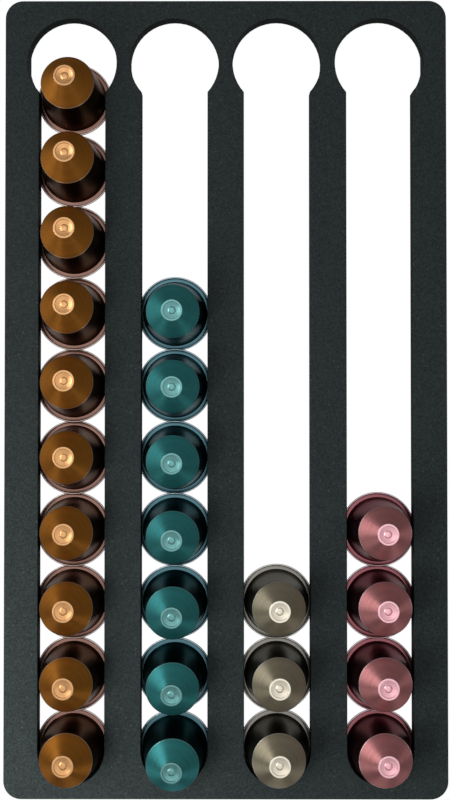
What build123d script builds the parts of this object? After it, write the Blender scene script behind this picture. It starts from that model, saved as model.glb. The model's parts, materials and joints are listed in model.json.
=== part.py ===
from build123d import *
import math
import os

# Wall holder for coffee capsules. A board with keyhole slots stands off the wall on rails. Each capsule
# goes in through a round mouth and slides down its slot, with its flange behind the board.
# X is to the right as seen from the front, +Y goes into the wall and +Z is up. The origin is on the
# wall, in the middle of the board's height and width. All sizes are in millimetres.

# Capsule
flange_diameter = 38.0
flange_width = 2.75
flange_thickness = 0.6
flange_curl = 1.3
corner_round = 0.5
cup_wall = 0.6
shoulder_diameter = 26.4
shoulder_height = 20.4
shoulder_round = 0.7
nose_diameter = 10.6
nose_height = 28.6
nose_rim_height = 0.7
nose_rim_width = 1.1
nose_dish_depth = 0.6
nose_round = 0.25
boss_diameter = 3.6
lid_thickness = 0.3
lid_crown = 0.4
lid_seam_width = 2.6

# Columns of capsules, from left to right. They lean so that their rims overlap like tiles:
# with noses up the upper rim is in front, with noses down the lower one.
columns = {"copper": 10, "teal": 7, "champagne": 3, "rose": 4}
nose_down_columns = ["teal"]
slot_capacity = 10
rim_overlap = 1.1
rim_gap = 0.3
seat_gap = 0.15
flange_gap = 0.2

# Board
panel_thickness = 5.5
bar_width = 18.5
side_bar_width = 17.25
top_margin = 9.0
bottom_margin = 7.5
corner_radius = 9.0
edge_round = 0.5
slot_play = 0.5
mouth_play = 3.5
mouth_rise = 16.55

# Rails behind the board
rail_depth = 8.0
rail_side_gap = 1.0
rail_edge_inset = 1.0
rail_end_inset = 4.0
rail_mouth_gap = 1.5
rail_top_gap = 4.0
rail_round = 0.6

# Screws
screw_diameter = 3.0
screw_head_diameter = 5.6
screw_length = 11.6
hanger_screw_diameter = 2.2
hanger_screw_head_diameter = 4.0
hanger_screw_length = 6.0
screw_head_edge = 0.3
screw_sink = 0.2
screw_tip_diameter = 0.8
screw_tip_length = 2.0
screw_play = 0.1
cross_width = 0.7
cross_depth = 0.8
screw_end_margin = 14.0

# Keyhole hangers
hanger_length = 40.0
hanger_thickness = 1.5
hanger_top_margin = 8.0
hanger_corner = 1.5
hanger_screw_inset = 4.5
keyhole_entry_diameter = 8.0
keyhole_slot_width = 4.2
keyhole_slot_length = 9.0
head_pocket_width = 9.4
head_pocket_depth = 4.0
head_pocket_reach = 1.2

# Places that follow from the sizes above
body_diameter = flange_diameter - 2 * flange_width
slot_width = body_diameter + 2 * slot_play
mouth_diameter = flange_diameter + 2 * mouth_play
slot_count = len(columns)
slot_pitch = slot_width + bar_width
panel_width = slot_count * slot_width + (slot_count - 1) * bar_width + 2 * side_bar_width
stack_pitch = flange_diameter - rim_overlap
seat_height = body_diameter / 2 + seat_gap
panel_height = (bottom_margin + seat_height + (slot_capacity - 1) * stack_pitch + mouth_rise
                + mouth_diameter / 2 + top_margin)
panel_bottom = -panel_height / 2
panel_top = panel_height / 2
slot_bottom = panel_bottom + bottom_margin
first_capsule_z = slot_bottom + seat_height
mouth_z = panel_top - top_margin - mouth_diameter / 2
slot_x = [(index - (slot_count - 1) / 2) * slot_pitch for index in range(slot_count)]
bar_x = [(left + right) / 2 for left, right in zip(slot_x, slot_x[1:])]

# The lean is the angle at which the curled rim of one capsule clears the lid of the next
curl_radius = flange_curl / 2
curl_centre = flange_diameter / 2 - curl_radius
rim_distance = flange_curl + lid_thickness + rim_gap
lean_cosine = (stack_pitch**2 + (2 * curl_centre) ** 2 - rim_distance**2) / (4 * stack_pitch * curl_centre)
lean = math.acos(lean_cosine)
flange_back_y = -rail_depth + flange_gap + curl_centre * math.sin(lean) + curl_radius * (1 + math.cos(lean))

inner_rail_width = slot_pitch - flange_diameter - 2 * rail_side_gap
inner_rail_bottom = panel_bottom + rail_end_inset
inner_rail_top = mouth_z - mouth_diameter / 2 - rail_top_gap
outer_rail_top = panel_top - rail_end_inset
outer_rail_edge = panel_width / 2 - rail_edge_inset
outer_rail_width = outer_rail_edge - slot_x[-1] - mouth_diameter / 2 - rail_mouth_gap
outer_rail_x = outer_rail_edge - outer_rail_width / 2

hanger_top = inner_rail_top - hanger_top_margin
hanger_z = hanger_top - hanger_length / 2
hanger_bottom = hanger_top - hanger_length
keyhole_entry_z = hanger_z - keyhole_slot_length / 2
keyhole_top_z = keyhole_entry_z + keyhole_slot_length
low_screw_z = inner_rail_bottom + screw_end_margin
high_screw_z = hanger_bottom - screw_end_margin
inner_screw_z = [low_screw_z, (low_screw_z + high_screw_z) / 2, high_screw_z]
outer_screw_z = inner_screw_z + [outer_rail_top - screw_end_margin]
wall_plane = Plane.XZ
board_plane = Plane.XZ.offset(rail_depth)

rails = {
    "rail_left": (-outer_rail_x, outer_rail_width, outer_rail_top, outer_screw_z),
    "rail_inner_left": (bar_x[0], inner_rail_width, inner_rail_top, inner_screw_z),
    "rail_centre": (bar_x[1], inner_rail_width, inner_rail_top, inner_screw_z),
    "rail_inner_right": (bar_x[2], inner_rail_width, inner_rail_top, inner_screw_z),
    "rail_right": (outer_rail_x, outer_rail_width, outer_rail_top, outer_screw_z),
}
hangers = {"hanger_left": bar_x[0], "hanger_right": bar_x[2]}
hanger_of_rail = {"rail_inner_left": "hanger_left", "rail_inner_right": "hanger_right"}
rail_screw_places = [(x, z) for x, width, top, rows in rails.values() for z in rows]
hanger_screw_z = [hanger_bottom + hanger_screw_inset, hanger_top - hanger_screw_inset]
hanger_screw_places = [(x, z) for x in hangers.values() for z in hanger_screw_z]

os.makedirs("parts", exist_ok=True)


def finish(piece, name):
    piece.label = name
    export_step(piece, f"parts/{name}.step")


def facing_wall(x, z, y=0.0):
    return Plane(origin=(x, y, z), x_dir=(1, 0, 0), z_dir=(0, 1, 0))


# Countersunk cross-head screw along Y, with its head at the back
def countersunk_screw(diameter, head_diameter, length):
    shank = diameter / 2
    head = head_diameter / 2
    tip = screw_tip_diameter / 2
    cone_end = -screw_head_edge - (head - shank)
    with BuildPart() as screw:
        with BuildSketch(Plane.XY):
            with BuildLine():
                Polyline(
                    (0, 0), (head, 0), (head, -screw_head_edge), (shank, cone_end),
                    (shank, -length + screw_tip_length), (tip, -length), (0, -length), close=True,
                )
            make_face()
        revolve(axis=Axis.Y)
        with BuildSketch(facing_wall(0, 0)):
            Rectangle(head, cross_width)
            Rectangle(cross_width, head)
        extrude(amount=-cross_depth, mode=Mode.SUBTRACT)
    return screw.part


# Front board
with BuildPart() as front_panel:
    with BuildSketch(board_plane):
        RectangleRounded(panel_width, panel_height, corner_radius)
        for x in slot_x:
            with Locations((x, mouth_z)):
                Circle(mouth_diameter / 2, mode=Mode.SUBTRACT)
            slot_low = slot_bottom + slot_width / 2
            with Locations((x, slot_low)):
                Circle(slot_width / 2, mode=Mode.SUBTRACT)
            with Locations((x, (slot_low + mouth_z) / 2)):
                Rectangle(slot_width, mouth_z - slot_low, mode=Mode.SUBTRACT)
    extrude(amount=panel_thickness)
    front_face = front_panel.faces().sort_by(Axis.Y)[0]
    fillet(front_face.edges(), edge_round)
    pilot_depth = screw_sink + screw_length - rail_depth + screw_play
    with Locations(*[facing_wall(x, z, -rail_depth) for x, z in rail_screw_places]):
        Hole(screw_diameter / 2 + screw_play, depth=pilot_depth)
finish(front_panel.part, "front_panel")

# Spacer rails, with the two inner ones cut away for the hangers
for name, (x, width, top, screw_rows) in rails.items():
    length = top - inner_rail_bottom
    with BuildPart() as rail:
        with BuildSketch(wall_plane):
            with Locations((x, inner_rail_bottom + length / 2)):
                RectangleRounded(width, length, rail_round)
        extrude(amount=rail_depth)
        with Locations(*[facing_wall(x, z) for z in screw_rows]):
            CounterSinkHole(
                radius=screw_diameter / 2 + screw_play,
                counter_sink_radius=screw_head_diameter / 2 + screw_head_edge + screw_sink + screw_play,
                depth=rail_depth,
                counter_sink_angle=90,
            )
        if name in hanger_of_rail:
            with BuildSketch(wall_plane):
                with Locations((x, hanger_z)):
                    Rectangle(width, hanger_length)
            extrude(amount=hanger_thickness, mode=Mode.SUBTRACT)
            with BuildSketch(wall_plane.offset(hanger_thickness)):
                with Locations((x, (keyhole_entry_z + keyhole_top_z) / 2)):
                    pocket_span = keyhole_slot_length + keyhole_entry_diameter / 2
                    SlotCenterToCenter(pocket_span + 2 * head_pocket_reach, head_pocket_width, rotation=90)
            extrude(amount=head_pocket_depth, mode=Mode.SUBTRACT)
            with Locations(*[facing_wall(x, z, -hanger_thickness) for z in hanger_screw_z]):
                Hole(hanger_screw_diameter / 2 + screw_play, depth=hanger_screw_length)
    finish(rail.part, name)

# Screws through the rails into the board
rail_screw = countersunk_screw(screw_diameter, screw_head_diameter, screw_length)
with BuildPart() as rail_screws:
    with Locations(*[(x, -screw_sink, z) for x, z in rail_screw_places]):
        add(rail_screw)
finish(rail_screws.part, "rail_screws")

# Keyhole hanger plates, flush with the backs of the rails
for name, x in hangers.items():
    with BuildPart() as hanger:
        with BuildSketch(wall_plane):
            with Locations((x, hanger_z)):
                RectangleRounded(inner_rail_width, hanger_length, hanger_corner)
            with Locations((x, keyhole_entry_z)):
                Circle(keyhole_entry_diameter / 2, mode=Mode.SUBTRACT)
            with Locations((x, (keyhole_entry_z + keyhole_top_z) / 2)):
                SlotCenterToCenter(keyhole_slot_length, keyhole_slot_width, rotation=90, mode=Mode.SUBTRACT)
        extrude(amount=hanger_thickness)
        with Locations(*[facing_wall(x, z) for z in hanger_screw_z]):
            CounterSinkHole(
                radius=hanger_screw_diameter / 2 + screw_play,
                counter_sink_radius=hanger_screw_head_diameter / 2 + screw_head_edge + screw_play,
                depth=hanger_thickness,
                counter_sink_angle=90,
            )
    finish(hanger.part, name)

# Screws that hold the hangers
hanger_screw = countersunk_screw(hanger_screw_diameter, hanger_screw_head_diameter, hanger_screw_length)
with BuildPart() as hanger_screws:
    with Locations(*[(x, 0, z) for x, z in hanger_screw_places]):
        add(hanger_screw)
finish(hanger_screws.part, "hanger_screws")

# One capsule about the Y axis, with the back of its flange at Y = 0 and its nose at -Y.
# Profiles are drawn as radius and height towards the nose.
section = Plane(origin=(0, 0, 0), x_dir=(1, 0, 0), z_dir=(0, 0, -1))
nose_axis = Axis((0, 0, 0), (0, -1, 0))
body_radius = body_diameter / 2
shoulder_radius = shoulder_diameter / 2
nose_radius = nose_diameter / 2
cone_top = nose_height - nose_rim_height
dish_radius = nose_radius - nose_rim_width

with BuildPart() as cup:
    with BuildSketch(section):
        with BuildLine():
            Polyline(
                (0, 0), (curl_centre, 0), (curl_centre, flange_thickness), (body_radius, flange_thickness),
                (shoulder_radius, shoulder_height), (nose_radius, cone_top), (nose_radius, nose_height),
                (0, nose_height), close=True,
            )
        make_face()
        with Locations((curl_centre, curl_radius)):
            Circle(curl_radius)
    revolve(axis=nose_axis)
    with BuildSketch(Plane.XZ.offset(nose_height)):
        Circle(dish_radius)
        Circle(boss_diameter / 2, mode=Mode.SUBTRACT)
    extrude(amount=-nose_dish_depth, mode=Mode.SUBTRACT)
    rings = cup.edges().filter_by(GeomType.CIRCLE)
    fillet(rings.filter_by(lambda ring: abs(ring.radius - shoulder_radius) < 0.01), shoulder_round)
    nose_edges = cup.edges().filter_by(GeomType.CIRCLE).filter_by_position(
        Axis.Y, -nose_height, -nose_height)
    fillet(nose_edges, nose_round)
    corner = cup.edges().filter_by(GeomType.CIRCLE).filter_by_position(
        Axis.Y, -flange_thickness, -flange_thickness)
    fillet(corner.sort_by(SortBy.RADIUS)[0], corner_round)
    with BuildSketch(section):
        with BuildLine():
            Polyline(
                (0, 0), (body_radius - cup_wall, 0), (body_radius - cup_wall, flange_thickness),
                (shoulder_radius - cup_wall, shoulder_height - cup_wall / 2),
                (nose_radius - cup_wall / 2, cone_top - cup_wall), (0, cone_top - cup_wall), close=True,
            )
        make_face()
    revolve(axis=nose_axis, mode=Mode.SUBTRACT)

with BuildPart() as lid:
    with BuildSketch(section):
        with BuildLine():
            seam = (curl_centre - lid_seam_width, -lid_thickness)
            peak = (0, -lid_thickness - lid_crown)
            dome_radius = (seam[0] ** 2 + lid_crown**2) / (2 * lid_crown)
            Polyline(peak, (0, 0), (curl_centre, 0), (curl_centre, -lid_thickness), seam)
            RadiusArc(seam, peak, dome_radius)
        make_face()
    revolve(axis=nose_axis)

# Loaded capsules, stacked with overlapping rims from the bottom of each slot
for (finish_name, count), x in zip(columns.items(), slot_x):
    tilt = math.degrees(lean) if finish_name in nose_down_columns else -math.degrees(lean)
    for index in range(count):
        place = Location((x, flange_back_y, first_capsule_z + index * stack_pitch), (tilt, 0, 0))
        for kind, pattern in (("cup", cup), ("lid", lid)):
            with BuildPart() as piece:
                with Locations(place):
                    add(pattern.part)
            finish(piece.part, f"{finish_name}_{kind}_{index + 1:02d}")
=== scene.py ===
import bpy
import json
import math
from mathutils import Matrix, Vector


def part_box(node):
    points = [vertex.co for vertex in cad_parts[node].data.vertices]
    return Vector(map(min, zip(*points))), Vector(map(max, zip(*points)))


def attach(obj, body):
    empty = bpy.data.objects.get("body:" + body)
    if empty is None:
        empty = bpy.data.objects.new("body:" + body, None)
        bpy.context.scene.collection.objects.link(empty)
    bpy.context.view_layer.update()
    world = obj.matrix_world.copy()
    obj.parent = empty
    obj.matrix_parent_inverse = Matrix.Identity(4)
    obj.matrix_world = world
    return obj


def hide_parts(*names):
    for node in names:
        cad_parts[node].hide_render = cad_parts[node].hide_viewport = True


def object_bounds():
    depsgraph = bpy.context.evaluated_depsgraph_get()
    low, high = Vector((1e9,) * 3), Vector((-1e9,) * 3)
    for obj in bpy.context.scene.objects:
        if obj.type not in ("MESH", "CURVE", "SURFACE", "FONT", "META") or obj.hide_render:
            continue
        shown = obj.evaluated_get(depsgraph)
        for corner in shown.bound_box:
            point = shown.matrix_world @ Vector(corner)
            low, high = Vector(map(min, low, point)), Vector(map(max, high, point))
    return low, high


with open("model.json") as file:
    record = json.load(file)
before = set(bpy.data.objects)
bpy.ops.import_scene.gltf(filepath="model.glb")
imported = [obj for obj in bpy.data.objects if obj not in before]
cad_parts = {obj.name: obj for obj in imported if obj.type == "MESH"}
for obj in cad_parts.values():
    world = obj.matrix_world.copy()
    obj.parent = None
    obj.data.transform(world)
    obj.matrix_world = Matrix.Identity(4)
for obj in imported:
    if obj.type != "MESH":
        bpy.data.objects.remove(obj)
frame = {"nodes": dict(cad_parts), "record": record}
cadLow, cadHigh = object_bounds()
mm = 0.001
print("frame loaded,", len(frame["nodes"]), "nodes")


# shared helpers

def newMaterial(name):
    material = bpy.data.materials.new(name)
    material.use_nodes = True
    tree = material.node_tree
    shader = next(node for node in tree.nodes if node.type == "BSDF_PRINCIPLED")
    return material, tree, shader


def addNode(tree, kind, **settings):
    node = tree.nodes.new(kind)
    for key, value in settings.items():
        setattr(node, key, value)
    return node


def setInputs(node, **values):
    for key, value in values.items():
        node.inputs[key.replace("_", " ")].default_value = value


def mathNode(tree, operation, first, second=None, third=None):
    node = addNode(tree, "ShaderNodeMath", operation=operation)
    for index, value in enumerate((first, second, third)):
        if value is None:
            continue
        if isinstance(value, (int, float)):
            node.inputs[index].default_value = value
        else:
            tree.links.new(value, node.inputs[index])
    return node.outputs[0]


def mixColour(tree, blend, factor, first, second):
    node = addNode(tree, "ShaderNodeMix", data_type="RGBA", blend_type=blend)
    for socket, value in ((node.inputs[0], factor), (node.inputs[6], first), (node.inputs[7], second)):
        if isinstance(value, (int, float)):
            socket.default_value = value
        elif isinstance(value, (tuple, list)):
            socket.default_value = (*value, 1.0)
        else:
            tree.links.new(value, socket)
    return node.outputs[2]


def rampOf(tree, source, stops):
    node = addNode(tree, "ShaderNodeValToRGB")
    elements = node.color_ramp.elements
    while len(elements) < len(stops):
        elements.new(0.5)
    for element, (place, shade) in zip(elements, stops):
        element.position = place
        element.color = (*shade, 1.0) if isinstance(shade, tuple) else (shade, shade, shade, 1.0)
    tree.links.new(source, node.inputs[0])
    return node.outputs[0]


def addNoise(tree, place, dimensions="3D", **settings):
    noise = addNode(tree, "ShaderNodeTexNoise", noise_dimensions=dimensions)
    setInputs(noise, **settings)
    tree.links.new(place, noise.inputs["W" if dimensions == "1D" else "Vector"])
    return noise.outputs[0]


def addBump(tree, shader, height, strength, distance):
    bump = addNode(tree, "ShaderNodeBump")
    setInputs(bump, Strength=strength, Distance=distance)
    tree.links.new(height, bump.inputs["Height"])
    tree.links.new(bump.outputs[0], shader.inputs["Normal"])


# roughness that follows a noise, from half the spread below the given value to half above it
def varyRoughness(tree, shader, noise, middle, spread):
    rough = mathNode(tree, "MULTIPLY_ADD", noise, spread, middle - spread / 2)
    tree.links.new(rough, shader.inputs["Roughness"])


def bentRays(tree, rays):
    return mathNode(tree, "MAXIMUM", rays.outputs["Is Glossy Ray"], rays.outputs["Is Transmission Ray"])


# camera at the photo's place: square to the board, a little below its middle
cameraPlan = {
    "aside": 0.5 * mm,
    "distance": 407 * mm,       # from the board's face
    "height": -6.1 * mm,
    "lookUp": 0.70,             # degrees
    "lookLeft": 0.12,
    "lens": 36.23,
    "sensor": 36.0,
    "nearest": 10 * mm,
}


def placeCamera(plan):
    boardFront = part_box("front_panel")[0].y
    camera = bpy.data.cameras.new("photoCamera")
    camera.lens = plan["lens"]
    camera.sensor_width = plan["sensor"]
    camera.clip_start = plan["nearest"]
    camera.dof.use_dof = False
    holder = bpy.data.objects.new("photoCamera", camera)
    bpy.context.scene.collection.objects.link(holder)
    holder.location = (plan["aside"], boardFront - plan["distance"], plan["height"])
    turns = (90 + plan["lookUp"], 0, plan["lookLeft"])
    holder.rotation_euler = [math.radians(angle) for angle in turns]
    bpy.context.scene.camera = holder


placeCamera(cameraPlan)
bpy.context.scene.view_settings.view_transform = "Standard"
print("camera placed")


# effects that several finishes share

floatKind = "NodeSocketFloat"


def newGroup(name, inputs, outputs):
    group = bpy.data.node_groups.new(name, "ShaderNodeTree")
    for label, kind, value in inputs:
        socket = group.interface.new_socket(name=label, in_out="INPUT", socket_type=kind)
        socket.default_value = value
    for label, kind in outputs:
        group.interface.new_socket(name=label, in_out="OUTPUT", socket_type=kind)
    entry = group.nodes.new("NodeGroupInput")
    leave = group.nodes.new("NodeGroupOutput")
    return group, entry.outputs, leave.inputs


# circular lathe marks around a capsule's own axis, from the radius and turn kept on its mesh
lathePlan = {
    "pitch": 0.22 * mm,
    "fine": {"Scale": 1.0, "Detail": 3.0, "Roughness": 0.7},
    "coarse": {"Scale": 0.09, "Detail": 2.0},
    "around": {"Scale": 1.0, "Detail": 2.0},
    "aroundTurn": 1.3,
    "aroundSteps": 0.35,
    "coarseShare": 0.6,
    "aroundShare": 0.4,
}


def buildLatheMarks(plan):
    group, given, result = newGroup(
        "latheMarks",
        [("Radius", floatKind, 0.0), ("Turn", floatKind, 0.0), ("Pitch", floatKind, plan["pitch"])],
        [("Height", floatKind), ("Tint", floatKind)],
    )
    steps = mathNode(group, "DIVIDE", given["Radius"], given["Pitch"])
    fine = addNoise(group, steps, "1D", **plan["fine"])
    coarse = addNoise(group, steps, "1D", **plan["coarse"])
    place = addNode(group, "ShaderNodeCombineXYZ")
    group.links.new(mathNode(group, "MULTIPLY", given["Turn"], plan["aroundTurn"]), place.inputs[0])
    group.links.new(mathNode(group, "MULTIPLY", steps, plan["aroundSteps"]), place.inputs[1])
    around = addNoise(group, place.outputs[0], "2D", **plan["around"])
    aroundPart = mathNode(group, "MULTIPLY", around, plan["aroundShare"])
    tint = mathNode(group, "MULTIPLY_ADD", coarse, plan["coarseShare"], aroundPart)
    group.links.new(fine, result["Height"])
    group.links.new(tint, result["Tint"])
    return group


# small pale flecks, slow unevenness and fine grain, as on dyed board
fleckPlan = {
    "cells": {"Scale": 420.0, "Randomness": 1.0},
    "spot": {"From_Min": 0.34, "From_Max": 0.12},
    "plainCells": 0.86,         # share of the cells that have no fleck
    "cloud": {"Scale": 38.0, "Detail": 4.0, "Roughness": 0.6},
    "grain": {"Scale": 1300.0, "Detail": 2.0, "Roughness": 0.6},
}


def buildFlecks(plan):
    group, given, result = newGroup(
        "boardFlecks",
        [("Place", "NodeSocketVector", (0, 0, 0))],
        [("Fleck", floatKind), ("Cloud", floatKind), ("Grain", floatKind)],
    )
    cells = addNode(group, "ShaderNodeTexVoronoi", feature="F1")
    setInputs(cells, **plan["cells"])
    group.links.new(given["Place"], cells.inputs["Vector"])
    spot = addNode(group, "ShaderNodeMapRange", interpolation_type="SMOOTHSTEP")
    setInputs(spot, **plan["spot"])
    group.links.new(cells.outputs["Distance"], spot.inputs[0])
    pick = addNode(group, "ShaderNodeSeparateColor")
    group.links.new(cells.outputs["Color"], pick.inputs[0])
    rare = mathNode(group, "GREATER_THAN", pick.outputs[0], plan["plainCells"])
    group.links.new(mathNode(group, "MULTIPLY", spot.outputs[0], rare), result["Fleck"])
    group.links.new(addNoise(group, given["Place"], **plan["cloud"]), result["Cloud"])
    group.links.new(addNoise(group, given["Place"], **plan["grain"]), result["Grain"])
    return group


latheMarks = buildLatheMarks(lathePlan)
boardFlecks = buildFlecks(fleckPlan)


# finishes

boardFinish = {
    "dark": (0.0218, 0.0284, 0.0284),
    "pale": (0.0240, 0.0312, 0.0312),
    "cloudStops": (0.3, 0.7),
    "fleck": (0.050, 0.056, 0.054),
    "fleckAmount": 0.45,
    "grain": 0.50,              # darkest grain against the palest
    "grainStops": (0.35, 0.65),
    # darkening of the sides that face neither front nor back: partly the burnt colour of cut board, partly
    # painted shade
    "cut": 0.25,                # cut edges against the faces
    "cutStops": (0.15, 0.75),
    "roughness": 0.70,
    "roughnessSpread": 0.2,
    "bump": (0.25, 0.2 * mm),
    "sheen": 0.08,
}
railFinish = {**boardFinish, "fleckAmount": 0.1}


def boardMaterial(name, plan):
    material, tree, shader = newMaterial(name)
    where = addNode(tree, "ShaderNodeTexCoord")
    flecks = addNode(tree, "ShaderNodeGroup", node_tree=boardFlecks)
    tree.links.new(where.outputs["Object"], flecks.inputs["Place"])
    grain = flecks.outputs["Grain"]
    shades = zip(plan["cloudStops"], (plan["dark"], plan["pale"]))
    ground = rampOf(tree, flecks.outputs["Cloud"], list(shades))
    grainShade = rampOf(tree, grain, list(zip(plan["grainStops"], (plan["grain"], 1.0))))
    grained = mixColour(tree, "MULTIPLY", 1.0, ground, grainShade)
    amount = mathNode(tree, "MULTIPLY", flecks.outputs["Fleck"], plan["fleckAmount"])
    speckled = mixColour(tree, "MIX", amount, grained, plan["fleck"])
    # sides that face neither front nor back are darkened: partly the burnt colour of cut board, partly
    # painted shade
    facing = addNode(tree, "ShaderNodeSeparateXYZ")
    tree.links.new(where.outputs["Normal"], facing.inputs[0])
    faced = mathNode(tree, "ABSOLUTE", facing.outputs[1])
    edgeShade = rampOf(tree, faced, list(zip(plan["cutStops"], (plan["cut"], 1.0))))
    tree.links.new(mixColour(tree, "MULTIPLY", 1.0, speckled, edgeShade), shader.inputs["Base Color"])
    varyRoughness(tree, shader, grain, plan["roughness"], plan["roughnessSpread"])
    addBump(tree, shader, grain, *plan["bump"])
    shader.inputs["Specular IOR Level"].default_value = plan["sheen"]
    return material


# anodised colour of each zone of a cup, from the nose outwards, and its tint at a glancing view; the wall,
# shoulder, edge and the champagne and rose rims also carry painted light, as noted below
capsuleFinish = {
    # the wall colours are darker than the anodised colour of the cone: painted dark reflection of the board
    # and room around the cups
    "copper": {"disc": (0.72, 0.385, 0.165), "rim": (0.70, 0.385, 0.17), "cone": (0.285, 0.108, 0.017),
               "shoulder": (0.42, 0.27, 0.17), "wall": (0.115, 0.056, 0.030),
               "flange": (0.28, 0.160, 0.130), "edge": (0.78, 0.68, 0.63), "glance": (0.74, 0.68, 0.66)},
    "teal": {"disc": (0.165, 0.385, 0.38), "rim": (0.165, 0.38, 0.37), "cone": (0.040, 0.213, 0.217),
             "shoulder": (0.16, 0.36, 0.38), "wall": (0.018, 0.074, 0.078),
             "flange": (0.090, 0.190, 0.225), "edge": (0.54, 0.66, 0.72), "glance": (0.64, 0.72, 0.75)},
    # champagne and rose: the rim is paler than the disc, a painted highlight on the raised ring and painted
    # shade in the dish inside it
    "champagne": {"disc": (0.80, 0.73, 0.60), "rim": (0.86, 0.81, 0.68), "cone": (0.282, 0.247, 0.174),
                  "shoulder": (0.50, 0.48, 0.43), "wall": (0.105, 0.100, 0.082),
                  "flange": (0.26, 0.245, 0.220), "edge": (0.74, 0.72, 0.69), "glance": (0.74, 0.74, 0.72)},
    "rose": {"disc": (0.92, 0.50, 0.555), "rim": (0.94, 0.55, 0.61), "cone": (0.445, 0.178, 0.180),
             "shoulder": (0.62, 0.42, 0.44), "wall": (0.160, 0.054, 0.058),
             "flange": (0.300, 0.110, 0.125), "edge": (0.76, 0.62, 0.66), "glance": (0.76, 0.64, 0.66)},
}
# radius at which each zone begins, and how far the colours blend there as a share of the reach
# the shoulder band from 12.85 to 13.12 mm is paler than the cone and wall: a painted highlight on the
# rounded shoulder
zoneEdges = {"rim": 4.2 * mm, "cone": 5.3 * mm, "shoulder": 12.85 * mm, "wall": 13.12 * mm,
             # the edge zone beyond 18.45 mm is pale silver: partly the bare metal of the rolled edge, partly
             # a painted highlight on its curl
             "flange": 16.45 * mm, "edge": 18.45 * mm}
zoneBlend = 0.006
capsuleReach = 20.0 * mm
zoneRoughness = {"disc": 0.30, "rim": 0.28, "cone": 0.40, "shoulder": 0.30, "wall": 0.24, "flange": 0.28,
                 "edge": 0.26}
spunGrain = {"cone": {"stretch": 0.55, "marks": 0.3}, "body": {"stretch": 0.0, "marks": 0.1}}
spunPlan = {
    "tint": [(0.3, 0.78), (0.7, 1.0)],
    "roughnessSpread": 0.12,
    "streakTurn": 0.25,
    "markDepth": 0.04 * mm,
}


# steps from one zone's value to the next at the zone's radius
def zoneColours(tree, radius, plan):
    share = mathNode(tree, "DIVIDE", radius, capsuleReach)
    stops = [(0.0, plan["disc"])]
    before = "disc"
    for zone, edge in zoneEdges.items():
        place = edge / capsuleReach
        stops += [(place - zoneBlend, plan[before]), (place + zoneBlend, plan[zone])]
        before = zone
    return rampOf(tree, share, stops)


# the nose and cone are spun on a lathe and shine in streaks, the body below them is drawn smooth
def capsuleMaterial(name, plan, grain):
    material, tree, shader = newMaterial(name)
    radius = addNode(tree, "ShaderNodeAttribute", attribute_name="axisRadius").outputs["Fac"]
    turn = addNode(tree, "ShaderNodeAttribute", attribute_name="axisTurn").outputs["Fac"]
    marks = addNode(tree, "ShaderNodeGroup", node_tree=latheMarks)
    tree.links.new(radius, marks.inputs["Radius"])
    tree.links.new(turn, marks.inputs["Turn"])
    tint = rampOf(tree, marks.outputs["Tint"], spunPlan["tint"])
    base = mixColour(tree, "MULTIPLY", 1.0, zoneColours(tree, radius, plan), tint)
    tree.links.new(base, shader.inputs["Base Color"])
    smoothest = zoneColours(tree, radius, zoneRoughness)
    rough = mathNode(tree, "MULTIPLY_ADD", marks.outputs["Height"], spunPlan["roughnessSpread"], smoothest)
    tree.links.new(rough, shader.inputs["Roughness"])
    shader.inputs["Metallic"].default_value = 1.0
    shader.inputs["Anisotropic"].default_value = grain["stretch"]
    shader.inputs["Anisotropic Rotation"].default_value = spunPlan["streakTurn"]
    shader.inputs["Specular Tint"].default_value = (*plan["glance"], 1.0)
    tangent = addNode(tree, "ShaderNodeTangent", direction_type="RADIAL", axis="Y")
    tree.links.new(tangent.outputs[0], shader.inputs["Tangent"])
    addBump(tree, shader, marks.outputs["Height"], grain["marks"], spunPlan["markDepth"])
    return material


steelFinish = {
    "screws": {"deep": (0.30, 0.30, 0.31), "bright": (0.60, 0.60, 0.61), "scale": 900.0, "roughness": 0.32},
    "hangers": {"deep": (0.42, 0.42, 0.43), "bright": (0.66, 0.66, 0.67), "scale": 300.0, "roughness": 0.36},
    "foil": {"deep": (0.60, 0.60, 0.61), "bright": (0.84, 0.84, 0.85), "scale": 160.0, "roughness": 0.30},
}
steelShared = {
    "noise": {"Detail": 5.0, "Roughness": 0.6},
    "stops": (0.3, 0.7),
    "roughnessSpread": 0.2,
    "bump": (0.2, 0.2 * mm),
}


def steelMaterial(name, plan):
    material, tree, shader = newMaterial(name)
    where = addNode(tree, "ShaderNodeTexCoord")
    noise = addNoise(tree, where.outputs["Object"], Scale=plan["scale"], **steelShared["noise"])
    tint = rampOf(tree, noise, list(zip(steelShared["stops"], (plan["deep"], plan["bright"]))))
    tree.links.new(tint, shader.inputs["Base Color"])
    varyRoughness(tree, shader, noise, plan["roughness"], steelShared["roughnessSpread"])
    shader.inputs["Metallic"].default_value = 1.0
    addBump(tree, shader, noise, *steelShared["bump"])
    return material


board = boardMaterial("blackBoard", boardFinish)
railBoard = boardMaterial("railBoard", railFinish)
screwSteel = steelMaterial("screwSteel", steelFinish["screws"])
hangerSteel = steelMaterial("hangerSteel", steelFinish["hangers"])
lidFoil = steelMaterial("lidFoil", steelFinish["foil"])
cupMetals = {
    colour: [capsuleMaterial(colour + part.title(), plan, grain) for part, grain in spunGrain.items()]
    for colour, plan in capsuleFinish.items()
}
print("finishes made")


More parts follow.
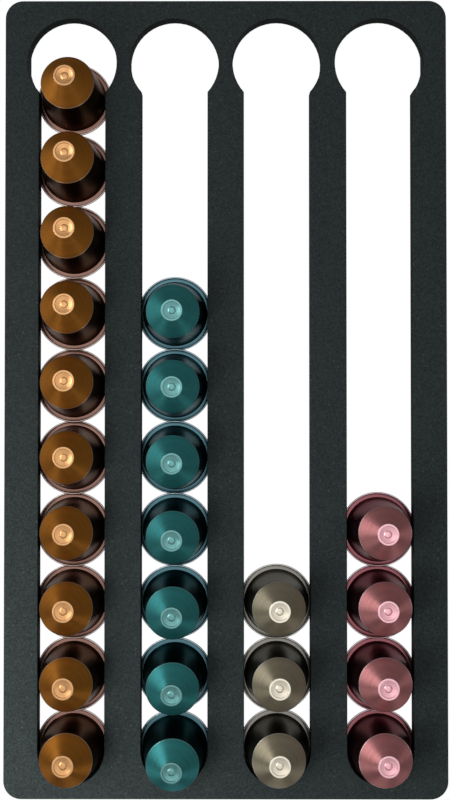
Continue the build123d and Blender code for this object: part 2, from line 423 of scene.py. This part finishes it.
# capsule cup: one pressed and spun shell, drawn as radius and height above the flange's back, then spun
cupPlan = {
    "flangeRadius": 19.0 * mm,
    "curlRadius": 0.45 * mm,
    "flangeThickness": 0.6 * mm,
    "bodyRadius": 16.25 * mm,
    "cornerRound": 0.5 * mm,
    "shoulderRadius": 13.2 * mm,
    "shoulderHeight": 20.4 * mm,
    "shoulderRound": 0.8 * mm,
    "noseRadius": 5.3 * mm,
    "noseHeight": 28.6 * mm,
    "coneTop": 27.9 * mm,
    "dishFloor": 27.65 * mm,
    "dishRadius": 4.1 * mm,
    "dishRise": 0.50 * mm,
    "rimRound": 0.18 * mm,
    "bossFoot": 2.0 * mm,
    "bossHeight": 0.45 * mm,
    "wall": 0.6 * mm,
    "bossPower": 4,
    "dishPower": 1.3,
    "rimInset": 1.3,            # in rounds of the rim, from the dish's edge
    "rimOutset": 1.4,           # in rounds of the rim, from the nose's edge
    "rimStart": 150,            # degrees
    "plateEnd": 0.25 * mm,
    "curlStart": 178,           # degrees
    "turns": 96,
    "arcSteps": 6,
    "curlSteps": 18,
    "bowlSteps": 7,
    "coneSteps": 6,
    "seedSize": 1 * mm,
    "mergeReach": 0.002 * mm,
    "smoothAngle": 38,          # degrees
}


def arcBetween(centre, radius, start, end, steps):
    points = []
    for step in range(steps + 1):
        angle = math.radians(start + (end - start) * step / steps)
        points.append((centre[0] + radius * math.cos(angle), centre[1] + radius * math.sin(angle)))
    return points


# rounds a corner of the outline between two straight stretches
def roundCorner(before, corner, after, radius, steps):
    toBefore = (Vector(before) - Vector(corner)).normalized()
    toAfter = (Vector(after) - Vector(corner)).normalized()
    half = toBefore.angle(toAfter) / 2
    reach = radius / math.tan(half)
    centre = Vector(corner) + (toBefore + toAfter).normalized() * (radius / math.sin(half))
    first = Vector(corner) + toBefore * reach - centre
    last = Vector(corner) + toAfter * reach - centre
    turn = first.angle_signed(last)
    start = math.degrees(math.atan2(first.y, first.x))
    return arcBetween(centre, radius, start, start - math.degrees(turn), steps)


def cupOutline(plan):
    steps = plan["arcSteps"]
    floor = plan["dishFloor"]
    top = plan["noseHeight"]
    rimRound = plan["rimRound"]
    shoulder = (plan["shoulderRadius"], plan["shoulderHeight"])
    wallFoot = (plan["bodyRadius"], plan["flangeThickness"])
    noseFoot = (plan["noseRadius"], plan["coneTop"])
    curl = (plan["flangeRadius"] - plan["curlRadius"], plan["curlRadius"])
    plate = (curl[0] - plan["curlRadius"], plan["flangeThickness"])
    wall = plan["wall"]
    outline = []
    bowlSteps = plan["bowlSteps"]
    for step in range(bowlSteps + 1):
        part = step / bowlSteps
        rise = plan["bossHeight"] * (1 - part ** plan["bossPower"])
        outline.append((plan["bossFoot"] * part, floor + rise))
    for step in range(1, bowlSteps + 1):
        part = step / bowlSteps
        outline.append((plan["bossFoot"] + (plan["dishRadius"] - plan["bossFoot"]) * part,
                        floor + plan["dishRise"] * part ** plan["dishPower"]))
    innerRim = (plan["dishRadius"] + plan["rimInset"] * rimRound, top - rimRound)
    outerRim = (plan["noseRadius"] - plan["rimOutset"] * rimRound, top - rimRound)
    outline += arcBetween(innerRim, rimRound, plan["rimStart"], 90, steps)
    outline += arcBetween(outerRim, rimRound, 90, 0, steps)
    outline.append(noseFoot)
    coneSteps = plan["coneSteps"]
    for step in range(1, coneSteps):
        part = step / coneSteps
        outline.append((noseFoot[0] + (shoulder[0] - noseFoot[0]) * part,
                        noseFoot[1] + (shoulder[1] - noseFoot[1]) * part))
    outline += roundCorner(noseFoot, shoulder, wallFoot, plan["shoulderRound"], steps)
    outline += roundCorner(shoulder, wallFoot, plate, plan["cornerRound"], steps)
    outline.append((plate[0] - plan["plateEnd"], plate[1]))
    outline += arcBetween(curl, plan["curlRadius"], plan["curlStart"], -90, plan["curlSteps"])
    outline += [(plan["bodyRadius"] - wall, 0), (plan["bodyRadius"] - wall, plan["flangeThickness"])]
    outline += [(shoulder[0] - wall, shoulder[1] - wall / 2), (noseFoot[0] - wall / 2, noseFoot[1] - wall)]
    outline.append((0, noseFoot[1] - wall))
    return outline


# the outline goes in as a chain of extruded points and is spun about the capsule's axis
def spinCup(plan):
    bpy.ops.object.select_all(action="DESELECT")
    outline = cupOutline(plan)
    bpy.ops.mesh.primitive_plane_add(size=plan["seedSize"], location=(0, 0, 0))
    bpy.ops.object.mode_set(mode="EDIT")
    bpy.ops.mesh.merge(type="CENTER")
    bpy.ops.transform.translate(value=(outline[0][0], -outline[0][1], 0))
    for before, after in zip(outline, outline[1:]):
        step = (after[0] - before[0], before[1] - after[1], 0)
        bpy.ops.mesh.extrude_vertices_move(TRANSFORM_OT_translate={"value": step})
    bpy.ops.mesh.select_all(action="SELECT")
    bpy.ops.mesh.spin(steps=plan["turns"], angle=math.tau, center=(0, 0, 0), axis=(0, 1, 0))
    bpy.ops.mesh.select_all(action="SELECT")
    bpy.ops.mesh.remove_doubles(threshold=plan["mergeReach"])
    bpy.ops.mesh.normals_make_consistent(inside=False)
    bpy.ops.object.mode_set(mode="OBJECT")
    bpy.ops.object.shade_smooth_by_angle(angle=math.radians(plan["smoothAngle"]))
    return bpy.context.object


# keeps each point's radius and turn for the lathe marks, and parts the spun cone from the drawn body
def keepAxisPlaces(mesh, plan):
    radius = mesh.attributes.new("axisRadius", "FLOAT", "POINT")
    turn = mesh.attributes.new("axisTurn", "FLOAT", "POINT")
    for vertex in mesh.vertices:
        radius.data[vertex.index].value = math.hypot(vertex.co.x, vertex.co.z)
        turn.data[vertex.index].value = math.sin(math.atan2(vertex.co.z, vertex.co.x))
    for face in mesh.polygons:
        face.material_index = 0 if -face.center.y > plan["shoulderHeight"] else 1


patternCup = spinCup(cupPlan)
for metal in cupMetals["copper"]:
    patternCup.data.materials.append(metal)
keepAxisPlaces(patternCup.data, cupPlan)
print("cup spun,", len(patternCup.data.vertices), "points")


# lean of each column's capsules in degrees about X, noses up where negative
capsuleLeans = {"copper": -2.94, "teal": 2.94, "champagne": -2.94, "rose": -2.94}


# moves a leaning cup's points so that its box lies on the box of its node
def seatCup(mesh, low, high):
    ownLow = Vector([min(vertex.co[axis] for vertex in mesh.vertices) for axis in range(3)])
    ownHigh = Vector([max(vertex.co[axis] for vertex in mesh.vertices) for axis in range(3)])
    shift = (low + high - ownLow - ownHigh) / 2
    shift.y = high.y - ownHigh.y
    mesh.transform(Matrix.Translation(shift))


def placeCups(pattern):
    for body, members in frame["record"]["behaviour"]["bodies"].items():
        for node in members:
            if "_cup_" not in node:
                continue
            colour = node.split("_")[0]
            cup = pattern.copy()
            cup.data = pattern.data.copy()
            cup.name = node.replace("_cup_", "_pressedCup_")
            cup.data.name = cup.name
            bpy.context.scene.collection.objects.link(cup)
            cup.data.transform(Matrix.Rotation(math.radians(capsuleLeans[colour]), 4, "X"))
            seatCup(cup.data, *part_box(node))
            for index, metal in enumerate(cupMetals[colour]):
                cup.data.materials[index] = metal
            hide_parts(node)
            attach(cup, body)


placeCups(patternCup)
bpy.data.objects.remove(patternCup)
print("cups placed")


# CAD nodes that stay take their finishes here
nodeFinishes = {"front_panel": board, "hanger_left": hangerSteel, "hanger_right": hangerSteel}
for name, node in frame["nodes"].items():
    finish = nodeFinishes.get(name)
    if name.startswith("rail_"):
        finish = railBoard
    if name.endswith("_screws"):
        finish = screwSteel
    if "_lid_" in name:
        finish = lidFoil
    if finish:
        node.data.materials.clear()
        node.data.materials.append(finish)
print("nodes finished")


# studio: white behind, a room that brightens towards the front and soft lamps;
# the low and back lamps light the board, the others only show as streaks in the metal
studio = {
    "room": [(-1.0, 1.45), (-0.95, 1.15), (-0.83, 0.70), (-0.55, 0.36), (-0.3, 0.28),
             (0.0, 0.22), (0.35, 0.17)],
    "behind": (0.62, 0.90),
    "behindShare": 0.60,
    "floorDrop": 1.20,
    "floorSize": 0.35,
    "floorCorners": 96,
    "floorColour": (0.82, 0.82, 0.81),
    "floorShade": 0.98,         # darkest part of the floor against the palest
    "floorStops": (0.2, 0.8),
    "floorNoise": {"Scale": 12.0, "Detail": 3.0},
    "floorRoughness": 0.9,
    "floorLift": 0.65,          # added to the floor where it is seen, so that only its shadow shows
    "lamps": {
        "broadLamp": {"place": (-0.86, -0.62, 0.18), "size": (0.35, 0.9), "power": 6.4, "lights": False},
        "frontLamp": {"place": (-0.22, -0.95, 0.32), "size": (0.4, 0.4), "power": 0.30, "lights": False},
        "lowLamp": {"place": (-0.26, -0.22, -0.25), "size": (0.2, 0.36), "power": 2.4, "mirrored": False},
        "sideLamp": {"place": (-0.50, -0.14, -0.52), "size": (0.3, 0.3), "power": 0.45, "lights": False},
        "narrowLamp": {"place": (0.50, -0.22, -0.68), "size": (0.14, 0.30), "power": 0.35, "lights": False},
        "rimLamp": {"place": (0.85, 0.10, -0.15), "size": (0.12, 0.30), "power": 0.25, "lights": False},
        "backLamp": {"place": (0.40, 0.90, 0.70), "size": (0.8, 0.8), "power": 16.0, "mirrored": False},
    },
}


def buildWorld(plan):
    world = bpy.data.worlds.new("studioWorld")
    bpy.context.scene.world = world
    world.use_nodes = True
    tree = world.node_tree
    tree.nodes.clear()
    rays = addNode(tree, "ShaderNodeLightPath")
    where = addNode(tree, "ShaderNodeTexCoord")
    split = addNode(tree, "ShaderNodeSeparateXYZ")
    tree.links.new(where.outputs["Generated"], split.inputs[0])
    depth = split.outputs[1]
    behind = addNode(tree, "ShaderNodeMapRange", interpolation_type="SMOOTHSTEP")
    setInputs(behind, From_Min=plan["behind"][0], From_Max=plan["behind"][1])
    tree.links.new(depth, behind.inputs[0])
    share = mathNode(tree, "MULTIPLY_ADD", depth, 0.5, 0.5)
    strength = rampOf(tree, share, [((place + 1) / 2, value) for place, value in plan["room"]])
    whiteShare = mathNode(tree, "MULTIPLY", behind.outputs[0], plan["behindShare"])
    mirrored = mathNode(tree, "MULTIPLY", bentRays(tree, rays), whiteShare)
    seen = mathNode(tree, "MAXIMUM", rays.outputs["Is Camera Ray"], mirrored)
    white = addNode(tree, "ShaderNodeBackground")
    setInputs(white, Color=(1, 1, 1, 1), Strength=1.0)
    room = addNode(tree, "ShaderNodeBackground")
    tree.links.new(strength, room.inputs["Color"])
    mix = addNode(tree, "ShaderNodeMixShader")
    out = addNode(tree, "ShaderNodeOutputWorld")
    tree.links.new(seen, mix.inputs[0])
    tree.links.new(room.outputs[0], mix.inputs[1])
    tree.links.new(white.outputs[0], mix.inputs[2])
    tree.links.new(mix.outputs[0], out.inputs[0])


def buildLamps(plan):
    for name, lamp in plan["lamps"].items():
        data = bpy.data.lights.new(name, "AREA")
        data.shape = "RECTANGLE"
        data.size, data.size_y = lamp["size"]
        data.energy = lamp["power"]
        holder = bpy.data.objects.new(name, data)
        bpy.context.scene.collection.objects.link(holder)
        holder.location = lamp["place"]
        aim = Vector((0, 0, 0)) - Vector(lamp["place"])
        holder.rotation_euler = aim.to_track_quat("-Z", "Y").to_euler()
        holder.visible_camera = False
        holder.visible_glossy = lamp.get("mirrored", True)
        holder.visible_diffuse = lamp.get("lights", True)


def buildFloor(plan):
    bpy.ops.object.select_all(action="DESELECT")
    bpy.ops.mesh.primitive_circle_add(
        vertices=plan["floorCorners"], radius=plan["floorSize"], fill_type="NGON",
        location=(0, 0, cadLow.z - plan["floorDrop"]))
    floor = bpy.context.object
    floor.name = "floor"
    material, tree, shader = newMaterial("paleFloor")
    where = addNode(tree, "ShaderNodeTexCoord")
    noise = addNoise(tree, where.outputs["Object"], **plan["floorNoise"])
    shade = tuple(part * plan["floorShade"] for part in plan["floorColour"])
    tone = rampOf(tree, noise, list(zip(plan["floorStops"], (shade, plan["floorColour"]))))
    tree.links.new(tone, shader.inputs["Base Color"])
    shader.inputs["Roughness"].default_value = plan["floorRoughness"]
    rays = addNode(tree, "ShaderNodeLightPath")
    seen = mathNode(tree, "MAXIMUM", rays.outputs["Is Camera Ray"], bentRays(tree, rays))
    shader.inputs["Emission Color"].default_value = (1, 1, 1, 1)
    tree.links.new(mathNode(tree, "MULTIPLY", seen, plan["floorLift"]), shader.inputs["Emission Strength"])
    floor.data.materials.append(material)


buildWorld(studio)
buildLamps(studio)
buildFloor(studio)
print("studio lit")
